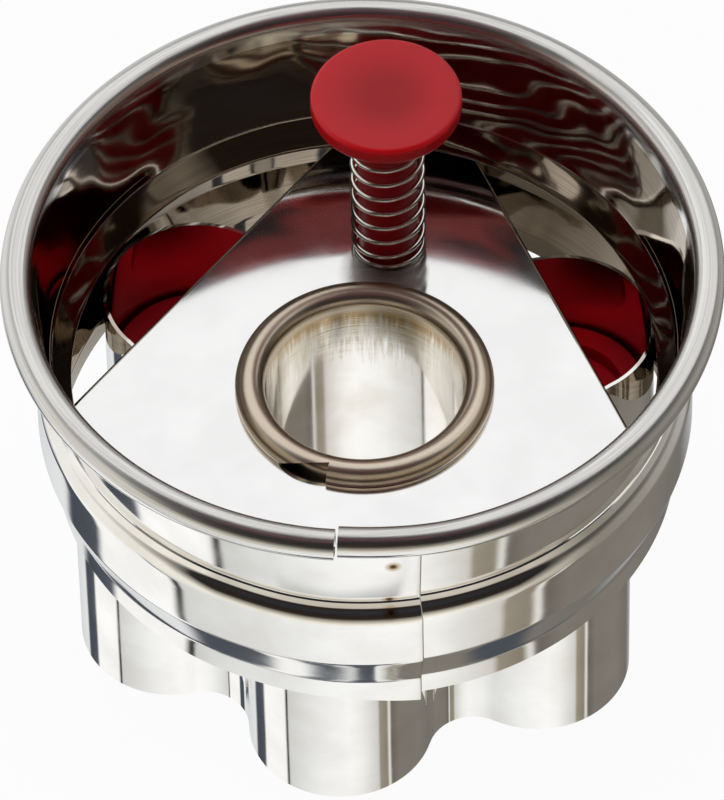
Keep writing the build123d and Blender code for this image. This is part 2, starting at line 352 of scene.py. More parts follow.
# %% Red plastic
# The real grain is finer. It is drawn as coarse as it needs to be to break the highlights.
GRAIN = 0.28
GRAIN_DEPTH = 0.025
GRAIN_STRENGTH = 0.6
knob_low, knob_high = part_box("push_knob")
STEM_Y = (knob_low[1] + knob_high[1]) / 2 / MM
KNOB_TOP = knob_high[2] / MM
DISH_CENTRE = (0.0, STEM_Y, KNOB_TOP)
# Reach of the painted shade in the middle of the knob's dish.
DISH_SHADE_REACH = 4.5
FLOW_LENGTH = 6.0
SATIN = 0.38
DULL = 0.5
SCATTER = 2.5


def clouded(length):
    """Zone of soft clouds of a length."""

    def share(tree, at):
        size = {"Scale": 1 / (length * MM), "Detail": 2.0}
        clouds = add_node(tree, "ShaderNodeTexNoise", size, {"Vector": at["place"]}).outputs["Fac"]
        limits = {"From Min": NOISE_LOW, "From Max": NOISE_HIGH}
        return add_node(tree, "ShaderNodeMapRange", limits, {"Value": clouds}).outputs["Result"]

    return share


def make_red_plastic(name, colour, zone_colour, zone):
    """Plastic finish with a zone that is darker and duller."""
    material, tree, output = new_material(name)
    place = add_node(tree, "ShaderNodeTexCoord").outputs["Object"]
    size = {"Scale": 1 / (GRAIN * MM), "Detail": 2.0}
    grain = add_node(tree, "ShaderNodeTexNoise", size, {"Vector": place}).outputs["Fac"]
    depth = {"Strength": GRAIN_STRENGTH, "Distance": GRAIN_DEPTH * MM}
    bump = add_node(tree, "ShaderNodeBump", depth, {"Height": grain})
    in_zone = zone(tree, {"place": place})
    tints = {"data_type": "RGBA", 6: linear(colour), 7: linear(zone_colour)}
    tint = add_node(tree, "ShaderNodeMix", tints, {0: in_zone})
    rough = add_node(tree, "ShaderNodeMix", {2: SATIN, 3: DULL}, {0: in_zone})
    shader = add_node(
        tree,
        "ShaderNodeBsdfPrincipled",
        {
            "IOR": 1.5,
            "Specular IOR Level": 0.35,
            "Subsurface Weight": 0.9,
            "Subsurface Radius": (1.0, 0.05, 0.05),
            "Subsurface Scale": SCATTER * MM,
        },
        {"Base Color": tint.outputs[2], "Roughness": rough.outputs[0], "Normal": bump.outputs["Normal"]},
    )
    tree.links.new(shader.outputs["BSDF"], output.inputs["Surface"])
    return material


# The knob: a warm red with a satin sheen, darker and duller in the middle of the dish, which is painted
# shade of the dish's hollow.
knob_dish_shade = near(DISH_CENTRE, DISH_SHADE_REACH)
knob_plastic = make_red_plastic("moulded_red_polystyrene", "#C8091A", "#B00716", knob_dish_shade)
# The tray: a deeper red than the knob, which is painted shade, with faint clouds, as the plastic flowed
# into the mould.
shaded_tray_plastic = make_red_plastic("deep_red_polystyrene", "#A40613", "#920510", clouded(FLOW_LENGTH))
print("plastic finishes:", knob_plastic.name, "and", shaded_tray_plastic.name)

# %% [markdown]
# ## Helpers for sheet metal
# Bent sheet is drawn as its section, a chain of edges. Bevelling a corner's vertex rounds the bend,
# spinning the last vertex rolls the edge, and spinning the whole chain about the axis makes the ring.
# Only then does the sheet get its thickness. A solid ring could be cut to the same form, but drawn like
# this every bend keeps its true radius on the drawn face.

# %% Helpers for sheet metal
BEND_STEPS = 12
LONG_RUN = 1.0
RUN_CUTS = 5
ROUND_STEPS = 240
ROLL_STEPS = 40
SHARP_ANGLE = radians(35)


def draw_section(bm, corners, bends):
    """Chain of edges in the XZ plane through (radius, height) corners, with inner corners rounded."""
    chain = [bm.verts.new((radius * MM, 0, height * MM)) for radius, height in corners]
    end_place = chain[-1].co.copy()
    for start, end in zip(chain, chain[1:]):
        bm.edges.new((start, end))
    tangents = []
    for before, corner, after, bend in zip(chain, chain[1:], chain[2:], bends):
        turn = (corner.co - before.co).angle(after.co - corner.co)
        tangents.append((corner, bend * MM * tan(turn / 2)))
    for corner, offset in tangents:
        if offset:
            bmesh.ops.bevel(
                bm, geom=[corner], offset=offset, offset_type="OFFSET", affect="VERTICES",
                segments=BEND_STEPS, profile=0.5, material=-1,
            )
    long_runs = [edge for edge in bm.edges if edge.calc_length() > LONG_RUN * MM]
    bmesh.ops.subdivide_edges(bm, edges=long_runs, cuts=RUN_CUTS)
    return min(bm.verts, key=lambda vert: (vert.co - end_place).length)


def roll_edge(bm, end, run, diameter, turn):
    """Carries the section's last vertex on round a roll to the outside of its run."""
    outside = Vector((run.z, 0, -run.x)).normalized()
    centre = end.co + outside * diameter / 2 * MM
    bmesh.ops.spin(bm, geom=[end], cent=centre, axis=(0, 1, 0), angle=turn, steps=ROLL_STEPS)


def spin_round(bm, geom, turn, steps, climb=0.0, closed=False):
    """Spins parts of a mesh about the upright axis, and gives the parts at the end of the turn."""
    turned = bmesh.ops.spin(
        bm, geom=geom, cent=(0, 0, 0), axis=(0, 0, 1), dvec=(0, 0, climb * MM), angle=turn, steps=steps,
        use_merge=closed,
    )
    return turned["geom_last"]


def thicken(bm, sheet, drawn_face):
    """Gives a sheet its thickness, behind the face that was drawn: the outer one or the inner one."""
    bmesh.ops.recalc_face_normals(bm, faces=bm.faces)
    middles = {face: face.calc_center_median() for face in bm.faces}
    foot = min(bm.faces, key=lambda face: middles[face].z - middles[face].xy.length)
    points_out = foot.normal.dot(middles[foot]) > 0
    if points_out != (drawn_face == "outer"):
        bmesh.ops.reverse_faces(bm, faces=bm.faces)
    bmesh.ops.solidify(bm, geom=bm.faces[:], thickness=sheet * MM)
    return bm


def finish_piece(bm, name, body, node, material):
    """Turns a bmesh into a smooth piece that stands for a CAD node and moves with its body."""
    for face in bm.faces:
        face.smooth = True
    for edge in bm.edges:
        edge.smooth = edge.is_boundary or edge.calc_face_angle(0.0) < SHARP_ANGLE
    mesh = bpy.data.meshes.new(name)
    bm.to_mesh(mesh)
    bm.free()
    mesh.materials.append(material)
    piece = bpy.data.objects.new(name, mesh)
    bpy.context.scene.collection.objects.link(piece)
    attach(piece, body)
    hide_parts(node)
    size = [round(side / MM, 2) for side in piece.dimensions]
    print(name, "faces:", len(mesh.polygons), "size in mm:", size)
    return piece


print("a full turn has", ROUND_STEPS, "steps of", 360 / ROUND_STEPS, "degrees")

# %% [markdown]
# ## Collar: section
# The collar is one strip of tinplate: a flange, a bead that swells out over an under-turn, an S-shaped
# shoulder above the bead, a wall that leans out a little, and a rim rolled outwards. The section is
# drawn along the sheet's inner face, from the flange's foot to the rim.

# %% Collar: section
collar_low, collar_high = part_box("collar")
COLLAR_SHEET = 0.3
CUTTING_DEPTH = collar_low[2] / MM
FLANGE_RADIUS = 26.2
FLANGE_HEIGHT = 2.2
BEAD_FOOT = CUTTING_DEPTH + FLANGE_HEIGHT
BEAD_RADIUS = 27.5
UNDER_TURN = 4.0
SHOULDER = ((27.2, 26.32), (26.43, 26.92), (26.25, 27.38), (26.02, 27.4))
WALL_FOOT = 27.93
WALL_HEIGHT = 10.07
RIM_LEVEL = WALL_FOOT + WALL_HEIGHT
RIM_WALL_RADIUS = 27.46
RIM_ROLL = 2.55
RIM_ROLL_TURN = radians(290)
UNDER_RIM = RIM_LEVEL - RIM_ROLL
COLLAR_BENDS = (1.1, 0.8, 1.2, 0.8, 0.0, 0.0)


def draw_collar_section(bm):
    """Draws the collar's section, with its rolled rim."""
    inner_flange = FLANGE_RADIUS - COLLAR_SHEET
    corners = [(inner_flange, CUTTING_DEPTH), (inner_flange, BEAD_FOOT)]
    corners += [(BEAD_RADIUS - COLLAR_SHEET, BEAD_FOOT + UNDER_TURN)]
    corners += [*SHOULDER, (RIM_WALL_RADIUS, RIM_LEVEL)]
    end = draw_section(bm, corners, COLLAR_BENDS)
    wall_radius, wall_start = SHOULDER[-1]
    wall_run = Vector((RIM_WALL_RADIUS - wall_radius, 0, RIM_LEVEL - wall_start))
    roll_edge(bm, end, wall_run, RIM_ROLL, RIM_ROLL_TURN)


print("collar: rim at", round(RIM_LEVEL, 2), "mm, bead foot at", round(BEAD_FOOT, 2), "mm")

# %% [markdown]
# ## Collar: lap seam
# The strip's two ends lap. The underlying end is the section itself. Spun once round, it comes back to
# its start as the outer end, ramps up by a sheet's thickness, and below the rim goes a little further
# as a tongue on top of its own start. At the rim the ends only butt, with a narrow slit between them.
# Each vertex notes how far it has turned, because the place alone can't tell the two ends apart.

# %% Collar: lap seam
LAP_START = radians(-86.6)
LAP_ANGLE = radians(14.0)
LAP_STEPS = 12
LAP_STEP = 0.31
LAP_RAMP = radians(22.0)
LAP_DROOP = 0.75
RIM_SLIT = 0.25


def ease(value):
    """Smooth step from 0 to 1."""
    value = min(1.0, max(0.0, value))
    return value * value * (3 - 2 * value)


def lap_shift(turned, height):
    """How far the collar's sheet stands out of its true circle, in millimetres.

    The outer end ramps up over the underlying one. At the rim the ends butt, and both are drawn in.
    """
    over = ease(1 - (2 * pi - turned) / LAP_RAMP)
    from_seam = min(turned, abs(2 * pi - turned))
    up_wall = ease((height - WALL_FOOT) / WALL_HEIGHT)
    return LAP_STEP * (over - ease(1 - from_seam / LAP_RAMP) * up_wall)


def angle_past_lap(vert):
    """Angle of a vertex, counted from the underlying end."""
    return (atan2(vert.co.y, vert.co.x) - LAP_START) % (2 * pi)


def only_verts(geom):
    """The vertices among the parts of a mesh."""
    return [part for part in geom if isinstance(part, bmesh.types.BMVert)]


def spin_collar(bm, turned):
    """Spins the section once round and the tongue further, and gives the outer end's vertices."""
    section = bm.verts[:] + bm.edges[:]
    outer_end = spin_round(bm, section, 2 * pi, ROUND_STEPS)
    for vert in bm.verts:
        vert[turned] = angle_past_lap(vert)
    for end, angle in ((section, 0.0), (outer_end, 2 * pi)):
        for vert in only_verts(end):
            vert[turned] = angle
    corners = {part: getattr(part, "verts", [part]) for part in outer_end}
    tongue = [part for part in outer_end if all(v.co.z < UNDER_RIM * MM for v in corners[part])]
    before_tongue = set(bm.verts)
    spin_round(bm, tongue, LAP_ANGLE, LAP_STEPS)
    for vert in set(bm.verts) - before_tongue:
        past_start = angle_past_lap(vert)
        vert[turned] = 2 * pi + past_start
        on_flange = ease((BEAD_FOOT - vert.co.z / MM) / FLANGE_HEIGHT)
        vert.co.z -= LAP_DROOP * on_flange * past_start / LAP_ANGLE * MM
    return only_verts(outer_end)


print("the lap covers", round(LAP_ANGLE * BEAD_RADIUS, 2), "mm of the bead")

# %% [markdown]
# ## Collar: free end and fold
# The lap's free end shows as the seam's line. A sheared edge is never quite square, so a small bevel
# blunts it and it catches the light. Between bead and wall the sheet is folded inwards and pressed shut
# outside. The fold's two leaves stand as a ridge inside the collar, and are a ring of their own in the
# same mesh.

# %% Collar: free end and fold
LAP_BLUNT = 0.14
BLUNT_STEPS = 3
FACES_ALONG = 0.99
ON_SEAM = 0.02
FOLD_START = (26.19, 28.73)
FOLD_FOOT = (26.08, WALL_FOOT)
FOLD_SLANT = radians(36.0)
FOLD_LENGTH = 2.9
FOLD_RETURN = 2.38
FOLD_GAP = 0.1
FOLD_BENDS = (0.5, 0.34, 0.34)


def blunt_lap_end(bm):
    """Rounds the outer edge of the strip's free end."""
    end_angle = LAP_START + LAP_ANGLE
    along_lap = Vector((-sin(end_angle), cos(end_angle), 0))
    end_faces = []
    for face in bm.faces:
        off_seam = abs(face.calc_center_median().dot(along_lap))
        if face.normal.dot(along_lap) > FACES_ALONG and off_seam < ON_SEAM * MM:
            end_faces.append(face)
    outer = []
    for face in end_faces:
        middle = face.calc_center_median().xy.length
        outer += [edge for edge in face.edges if all(v.co.xy.length > middle for v in edge.verts)]
    edges = list(dict.fromkeys(outer))
    print("edges along the seam:", len(edges))
    bmesh.ops.bevel(
        bm, geom=edges, offset=LAP_BLUNT * MM, offset_type="OFFSET", affect="EDGES",
        segments=BLUNT_STEPS, profile=0.5, material=-1,
    )


def add_fold(bm):
    """Adds the fold's two leaves to the collar's mesh."""
    into_fold = Vector((-sin(FOLD_SLANT), -cos(FOLD_SLANT)))
    across_fold = Vector((cos(FOLD_SLANT), -sin(FOLD_SLANT)))
    upper_tip = Vector(FOLD_FOOT) + into_fold * FOLD_LENGTH
    lower_tip = upper_tip + across_fold * (2 * COLLAR_SHEET + FOLD_GAP)
    corners = [FOLD_START, FOLD_FOOT, upper_tip, lower_tip, lower_tip - into_fold * FOLD_RETURN]
    fold = bmesh.new()
    draw_section(fold, corners, FOLD_BENDS)
    spin_round(fold, fold.verts[:] + fold.edges[:], 2 * pi, ROUND_STEPS, closed=True)
    thicken(fold, COLLAR_SHEET, "inner")
    leaves = bpy.data.meshes.new("fold")
    fold.to_mesh(leaves)
    fold.free()
    bm.from_mesh(leaves)
    bpy.data.meshes.remove(leaves)


def make_collar():
    """Collar with its lap seam, its rolled rim and its fold."""
    bm = bmesh.new()
    turned = bm.verts.layers.float.new("turned")
    draw_collar_section(bm)
    to_lap = Matrix.Rotation(LAP_START, 3, "Z")
    bmesh.ops.rotate(bm, verts=bm.verts, cent=(0, 0, 0), matrix=to_lap)
    outer_end = spin_collar(bm, turned)
    for vert in bm.verts:
        radius = vert.co.xy.length
        shift = lap_shift(vert[turned], vert.co.z / MM) * MM
        vert.co.xy *= (radius + shift) / radius
    rim_end = [vert for vert in outer_end if vert.co.z > UNDER_RIM * MM]
    slit = Matrix.Rotation(-RIM_SLIT / RIM_WALL_RADIUS, 3, "Z")
    bmesh.ops.rotate(bm, verts=rim_end, cent=(0, 0, 0), matrix=slit)
    thicken(bm, COLLAR_SHEET, "inner")
    blunt_lap_end(bm)
    add_fold(bm)
    return bm


finish_piece(make_collar(), "rolled_collar", "cutter", "collar", collar_tin)

# %% [markdown]
# ## Petal cutter
# A strip bent to six petals, which cuts the dough with its lower edge. Each petal and each valley is an
# arc, so one vertex spun round one centre after another draws the whole outline. The outline is then
# drawn up to the plate in a few levels, and gets its thickness inwards.

# %% Petal cutter
_, strip_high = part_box("petal_cutter")
PETALS = 6
PETAL_RADIUS = 7.8
PETAL_STEPS = 40
VALLEY_RADIUS = 3.8
VALLEY_STEPS = 12
STRIP_SHEET = 0.3
STRIP_LEVELS = 6
CLOSE_GAP = 0.01
PETAL_CIRCLE = strip_high[1] / MM - PETAL_RADIUS
HALF_PETAL = pi / PETALS
petal_reach = PETAL_RADIUS + VALLEY_RADIUS
petal_aside = PETAL_CIRCLE * sin(HALF_PETAL)
VALLEY_CIRCLE = PETAL_CIRCLE * cos(HALF_PETAL) + sqrt(petal_reach**2 - petal_aside**2)


def polar(radius, angle, height=0.0):
    """Point at a radius, an angle and a height."""
    return Vector((radius * cos(angle), radius * sin(angle), height)) * MM


def petal_outline(bm, inset, height):
    """Closed chain of edges along the petals, drawn in by an inset."""
    first = polar(PETAL_CIRCLE, pi / 2)
    valley_before = polar(VALLEY_CIRCLE, pi / 2 - HALF_PETAL)
    start = first + (valley_before - first).normalized() * (PETAL_RADIUS - inset) * MM
    vert = bm.verts.new((start.x, start.y, height * MM))
    out = (valley_before - first).angle(first)
    inwards = 2 * (out - HALF_PETAL)
    for petal in range(PETALS):
        middle = pi / 2 + 2 * HALF_PETAL * petal
        arcs = (
            (polar(PETAL_CIRCLE, middle, height), 2 * out, PETAL_STEPS),
            (polar(VALLEY_CIRCLE, middle + HALF_PETAL, height), -inwards, VALLEY_STEPS),
        )
        for centre, turn, steps in arcs:
            arc = bmesh.ops.spin(bm, geom=[vert], cent=centre, axis=(0, 0, 1), angle=turn, steps=steps)
            vert = arc["geom_last"][0]
    bmesh.ops.remove_doubles(bm, verts=bm.verts, dist=CLOSE_GAP * MM)


def make_petal_cutter():
    """Petal strip from the cutting edge up to the plate."""
    bm = bmesh.new()
    petal_outline(bm, 0.0, 0.0)
    rise = strip_high[2] / STRIP_LEVELS
    for level in range(STRIP_LEVELS):
        top = [e for e in bm.edges if all(v.co.z > (level - 0.5) * rise for v in e.verts)]
        drawn_up = bmesh.ops.extrude_edge_only(bm, edges=top)["geom"]
        bmesh.ops.translate(bm, verts=only_verts(drawn_up), vec=(0, 0, rise))
    return thicken(bm, STRIP_SHEET, "outer")


finish_piece(
    make_petal_cutter(), "petal_strip", "cutter", "petal_cutter", strip_tin
)

# %% [markdown]
# ## Hole cutter
# A short tube that cuts the biscuit's window. Its upper edge is rolled outwards over the plate. The
# roll's two ends part in a wedge, so two planes cut the roll there and the faces between them are taken
# out. One plane is square to the roll, and the other leans, as if that end had been snipped by hand.

# %% Hole cutter
_, tube_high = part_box("hole_cutter")
TUBE_SHEET = 0.3
TUBE_ROLL = 2.5
TUBE_ROLL_TURN = radians(195)
TUBE_BORE_RADIUS = tube_high[0] / MM - TUBE_ROLL
TUBE_RADIUS = TUBE_BORE_RADIUS + TUBE_SHEET
TUBE_ROLL_LEVEL = tube_high[2] / MM - TUBE_ROLL / 2
SLIT_ANGLE = radians(-100.0)
SLIT_SPREAD = radians(24.0)
SLIT_LEAN = radians(40.0)
# Points nearer than this count as one.
TOUCHING = 0.001


def front_roll(bm):
    """Faces of the roll on the slit's side of the tube, with their middles."""
    middles = [(face, face.calc_center_median()) for face in bm.faces]
    return [(face, m) for face, m in middles if m.xy.length > TUBE_RADIUS * MM and m.y < 0]


def cut_slit(bm):
    """Takes a wedge out of the roll, between a square plane and a leaning one."""
    corner = polar(TUBE_RADIUS, SLIT_ANGLE, TUBE_ROLL_LEVEL)
    far = polar(TUBE_RADIUS + TUBE_ROLL, SLIT_ANGLE - SLIT_SPREAD, TUBE_ROLL_LEVEL)
    leaning = Vector((0, -sin(SLIT_LEAN), cos(SLIT_LEAN)))
    square_normal = Vector((-sin(SLIT_ANGLE), cos(SLIT_ANGLE), 0))
    slant_normal = leaning.cross(corner - far).normalized()
    for normal in (square_normal, slant_normal):
        faces = [face for face, _ in front_roll(bm)]
        parts = faces + list(dict.fromkeys(part for f in faces for part in (*f.edges, *f.verts)))
        bmesh.ops.bisect_plane(bm, geom=parts, dist=TOUCHING * MM, plane_co=corner, plane_no=normal)
    wedge = []
    for face, middle in front_roll(bm):
        if all((middle - corner).dot(normal) < 0 for normal in (square_normal, slant_normal)):
            wedge.append(face)
    print("faces taken out of the slit:", len(wedge))
    bmesh.ops.delete(bm, geom=wedge, context="FACES")


def make_hole_cutter():
    """Window tube with its slit roll."""
    bm = bmesh.new()
    wall = [(TUBE_BORE_RADIUS, 0.0), (TUBE_BORE_RADIUS, TUBE_ROLL_LEVEL)]
    end = draw_section(bm, wall, [])
    roll_edge(bm, end, Vector((0, 0, 1)), TUBE_ROLL, TUBE_ROLL_TURN)
    spin_round(bm, bm.verts[:] + bm.edges[:], 2 * pi, ROUND_STEPS, closed=True)
    cut_slit(bm)
    return thicken(bm, TUBE_SHEET, "inner")


finish_piece(
    make_hole_cutter(), "window_tube", "cutter", "hole_cutter", tube_tin
)

# %% [markdown]
# ## Knob and stem
# One moulding, turned here from its section as on a lathe: a shallow thumb dish, a rounded edge, and the
# stem that goes down to the ejector. It is spun about the upright axis and then moved to its place.

# %% Knob and stem
KNOB_RADIUS = (knob_high[0] - knob_low[0]) / 2 / MM
KNOB_THICKNESS = 1.75
KNOB_BOTTOM = KNOB_TOP - KNOB_THICKNESS
KNOB_EDGE = 0.45
KNOB_STEPS = 96
DISH_RADIUS = 4.8
DISH_DEPTH = 0.15
# Halfway out, a round dish still has three quarters of its depth.
HALFWAY_DEPTH = DISH_DEPTH * 0.75
STEM_RADIUS = 2.5
STEM_BOTTOM = knob_low[2] / MM
KNOB_SECTION = (
    (0.0, STEM_BOTTOM),
    (STEM_RADIUS, STEM_BOTTOM),
    (STEM_RADIUS, KNOB_BOTTOM),
    (KNOB_RADIUS, KNOB_BOTTOM),
    (KNOB_RADIUS, KNOB_TOP),
    (DISH_RADIUS, KNOB_TOP),
    (DISH_RADIUS / 2, KNOB_TOP - HALFWAY_DEPTH),
    (0.0, KNOB_TOP - DISH_DEPTH),
)
KNOB_BENDS = (0.2, 0.3, KNOB_EDGE, KNOB_EDGE, 2.0, 20.0)


def make_knob():
    """Knob and stem."""
    bm = bmesh.new()
    draw_section(bm, KNOB_SECTION, KNOB_BENDS)
    spin_round(bm, bm.verts[:] + bm.edges[:], 2 * pi, KNOB_STEPS, closed=True)
    bmesh.ops.remove_doubles(bm, verts=bm.verts, dist=TOUCHING * MM)
    bmesh.ops.recalc_face_normals(bm, faces=bm.faces)
    bmesh.ops.translate(bm, verts=bm.verts, vec=(0, STEM_Y * MM, 0))
    return bm


finish_piece(make_knob(), "knob_and_stem", "plunger", "push_knob", knob_plastic)

# %% [markdown]
# ## Return spring
# A helix is a circle that turns and climbs at once. Spin does both when it is given a climb for each
# step, so each stretch of the wire is one spin: hardly any climb at the feet, the full pitch between.
# When the plunger goes down, the spring is pressed together on the plate.

# %% Return spring
spring_low, spring_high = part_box("return_spring")
WIRE = 0.45
WIRE_SIDES = 12
COIL_CLEARANCE = 0.25
COIL_RADIUS = STEM_RADIUS + COIL_CLEARANCE + WIRE / 2
END_STRETCHES = 6
ACTIVE_TURNS = 8.0
STEPS_PER_TURN = 48
SPRING_START = radians(-150.0)


def make_spring():
    """Coil spring on the stem, with a flat turn at each end."""
    bm = bmesh.new()
    pitch = ((spring_high[2] - spring_low[2]) / MM - WIRE) / (ACTIVE_TURNS + 1)
    wire_end = (COIL_RADIUS * MM, 0, spring_low[2] + WIRE / 2 * MM)
    upright = Matrix.Translation(wire_end) @ Matrix.Rotation(pi / 2, 4, "X")
    bmesh.ops.create_circle(
        bm, cap_ends=True, segments=WIRE_SIDES, radius=WIRE / 2 * MM, matrix=upright
    )
    to_start = Matrix.Rotation(SPRING_START, 3, "Z")
    bmesh.ops.rotate(bm, verts=bm.verts, cent=(0, 0, 0), matrix=to_start)
    foot = [(1 / END_STRETCHES, (n + 0.5) / END_STRETCHES) for n in range(END_STRETCHES)]
    section = bm.faces[:] + bm.edges[:] + bm.verts[:]
    for turns, climb in [*foot, (ACTIVE_TURNS, 1.0), *reversed(foot)]:
        steps = max(1, round(turns * STEPS_PER_TURN))
        section = spin_round(bm, section, 2 * pi * turns, steps, climb=pitch * climb * turns / steps)
    bmesh.ops.recalc_face_normals(bm, faces=bm.faces)
    bmesh.ops.translate(bm, verts=bm.verts, vec=(0, STEM_Y * MM, 0))
    return bm


spring = finish_piece(
    make_spring(), "coil_spring", "cutter", "return_spring", spring_steel
)
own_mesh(spring)

# %% [markdown]
# ## Plate and ejector
# A flat plate with straight sides carries the plunger, and a petal-shaped tray pushes the biscuit out.
# Both could be drawn again here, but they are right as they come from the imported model, so they only
# get their finish.

# %% Plate and ejector
for node, material in (("bridge_plate", plate_tin), ("ejector", shaded_tray_plastic)):
    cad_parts[node].data.materials.clear()
    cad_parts[node].data.materials.append(material)
    print(node, "gets", material.name)

# %% [markdown]
# ## Floor
# The cutter stands on white paper. To the camera the paper is nearly all plain white light, and the
# small rest is real paper, which takes the part's shadow. A floor that plain would show in the metal as
# one blank patch. Reflections therefore pass it and see the tent of the next step, and only the paper
# beneath the part stays in their way, because that is in the shade.

# %% Floor
FLOOR_SIZE = 3.0
WHITE_SHARE = 0.955
AROUND_DROP = 0.02
BENEATH_DROP = 0.01
BORE_STEPS = 96


def make_paper():
    """Paper that is white to the camera and still keeps a faint shadow."""
    # Uncoated paper is matt: it has no sheen of its own, and only the shadow shows on it.
    material, tree, output = new_material("white_paper_floor")
    seen = add_node(tree, "ShaderNodeLightPath").outputs["Is Camera Ray"]
    share = add_node(tree, "ShaderNodeMath", {"operation": "MULTIPLY", 1: WHITE_SHARE}, {0: seen})
    paper = add_node(tree, "ShaderNodeBsdfDiffuse", {"Color": linear("#F4F4F4")})
    white = add_node(tree, "ShaderNodeEmission", {"Color": linear("#FFFFFF"), "Strength": 1.0})
    layers = {"Fac": share.outputs[0], 1: paper.outputs[0], 2: white.outputs[0]}
    mix = add_node(tree, "ShaderNodeMixShader", None, layers)
    tree.links.new(mix.outputs[0], output.inputs["Surface"])
    return material


def make_floor():
    """Paper around the part, and the paper beneath it inside the petals."""
    paper = make_paper()
    around = bmesh.new()
    bmesh.ops.create_grid(around, x_segments=1, y_segments=1, size=FLOOR_SIZE / 2)
    bmesh.ops.translate(around, verts=around.verts, vec=(0, 0, -AROUND_DROP * MM))
    beneath = bmesh.new()
    petal_outline(beneath, STRIP_SHEET, -BENEATH_DROP)
    drop = Matrix.Translation((0, 0, -BENEATH_DROP * MM))
    bmesh.ops.create_circle(beneath, segments=BORE_STEPS, radius=TUBE_BORE_RADIUS * MM, matrix=drop)
    bmesh.ops.triangle_fill(beneath, use_beauty=True, edges=beneath.edges[:])
    for name, bm, mirrored in (("paper_around", around, False), ("paper_beneath", beneath, True)):
        mesh = bpy.data.meshes.new(name)
        bm.to_mesh(mesh)
        bm.free()
        mesh.materials.append(paper)
        floor = bpy.data.objects.new(name, mesh)
        bpy.context.scene.collection.objects.link(floor)
        floor.visible_glossy = mirrored
        print(name, "faces:", len(mesh.polygons))


make_floor()

# %% [markdown]
# ## Surroundings: what the metal shows
# Polished metal shows little of itself and much of what stands round it. What stood there isn't known,
# so it was guessed from the reflections: a pale tent with a few dark gaps, which make the stripes on the
# petals, a dim room over the tent's edge, a dull red curtain in front, which the plate shows at its
# back, and shaded ground, which the bead's under-turn shows. Angles go round the part from the camera,
# in degrees, and heights are those of a direction, from -1 straight down to 1 straight up.

# %% Surroundings: what the metal shows
TENT_FOOT = (
    (-180, "#C8CBCE"),
    (-134, "#E4E6E8"),
    (-130, "#454A54"),
    (-112, "#50555E"),
    (-109, "#FFFFFF"),
    (-74, "#FFFFFF"),
    (-72, "#3A3A3C"),
    (-70, "#3A3A3C"),
    (-69, "#D6D7D6"),
    (-25, "#F4F5F5"),
    (10, "#FFFFFF"),
    (25, "#F6F6F5"),
    (47, "#D4D2CE"),
    (49, "#9A9284"),
    (60, "#8A8274"),
    (61, "#E8E8E4"),
    (63, "#E8E8E4"),
    (65, "#6A655F"),
    (76, "#7E7972"),
    (110, "#807B74"),
    (146, "#716E69"),
    (180, "#C8CBCE"),
)
TENT_WALL = (
    (-180, "#D0D0CE"),
    (-130, "#F4F4F4"),
    (-20, "#F1EADB"),
    (30, "#F4EDDF"),
    (70, "#8A857C"),
    (180, "#D0D0CE"),
)
WALL_FROM = {"From Min": -0.6, "From Max": -0.35}
SKYLINE = (
    (-180, 0.3),
    (-135, 0.5),
    (-120, 0.72),
    (-80, 0.72),
    (-64, 0.55),
    (-46, 0.0),
    (44, 0.0),
    (64, 0.55),
    (90, 0.5),
    (180, 0.3),
)
OVER_SKYLINE = {"From Min": -0.35, "From Max": 0.2}
ROOM_ABOVE = ((0.0, "#332B26"), (0.5, "#2A2421"), (0.85, "#2E3036"), (1.0, "#32353D"))
CURTAIN_RED = "#84444A"
CURTAIN_WIDTH = ((-180, 0.0), (-80, 0.0), (-60, 1.0), (60, 1.0), (80, 0.0), (180, 0.0))
CURTAIN_RISE = ((0.0, 0.0), (0.875, 0.0), (0.895, 1.0), (0.935, 1.0), (0.95, 0.0), (1.0, 0.0))
SHADED_GREY = "#4A5059"
SHADED_BELOW = {"From Min": -0.9, "From Max": -0.93}
SHADED_STRETCHES = (
    (-122, -119, -114, -111),
    (-97, -93, -76, -73),
    (-50, -46, 12, 16),
    (104, 108, 123, 127),
)
SHADED_GROUND = [(-180, 0.0)]
for stretch in SHADED_STRETCHES:
    SHADED_GROUND += zip(stretch, (0.0, 1.0, 1.0, 0.0))
SHADED_GROUND += [(180, 0.0)]
print("tent:", len(TENT_FOOT), "stops at its foot, shaded ground:", len(SHADED_STRETCHES), "stretches")

# %% [markdown]
# ## Surroundings: world
# The world's nodes turn a direction to an angle round the part and a height, look both up in the tables
# with colour ramps, and lay the tent, the shaded ground, the room and the curtain over each other. A
# picture of a studio could do the same, but a few numbers are easier to change.

# %% Surroundings: world
CAMERA_SIDE_ANGLE = radians(8.3)
WORLD_STRENGTH = 1.08


